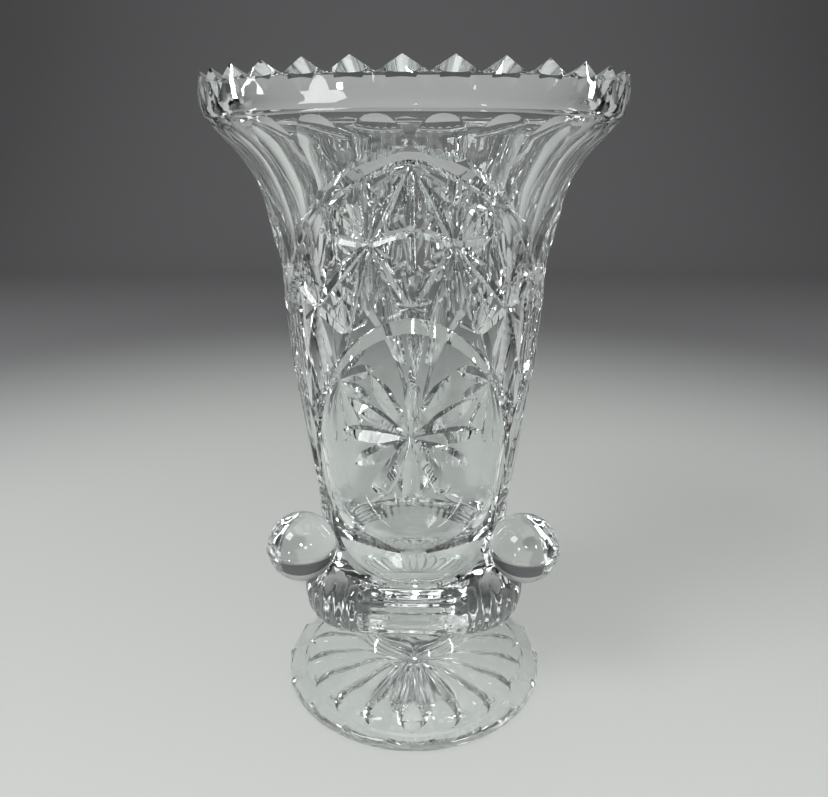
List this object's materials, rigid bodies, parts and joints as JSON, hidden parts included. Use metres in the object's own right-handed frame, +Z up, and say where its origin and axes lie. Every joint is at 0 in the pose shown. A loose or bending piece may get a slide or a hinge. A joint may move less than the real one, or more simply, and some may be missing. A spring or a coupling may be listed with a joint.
{
  "type": "cut crystal vase",
  "caption": "Trumpet-shaped cut glass vase with a sawtooth rim, oval panels, ball knobs, a lobed collar and a fluted round foot.",
  "frame": {"origin": "on the vase's axis, on the surface that the foot rests on", "axes": "+Z up along the vase's axis, through the mouth; -Y through the middle of the front oval panel; +X to the right of the front panel"},
  "size_m": [0.1216, 0.1216, 0.2],
  "materials": {
    "body_glass": "polished clear crystal",
    "collar_glass": "polished clear crystal, thick",
    "foot_glass": "polished clear crystal, ray cut underneath",
    "knob_glass": "fire-polished clear crystal"
  },
  "bodies": {
    "root": {"vase_body": "body_glass", "base_collar": "collar_glass", "pedestal_foot": "foot_glass", "ball_knob_right": "knob_glass", "ball_knob_left": "knob_glass", "ball_knob_rear": "knob_glass"}
  },
  "joints": []
}
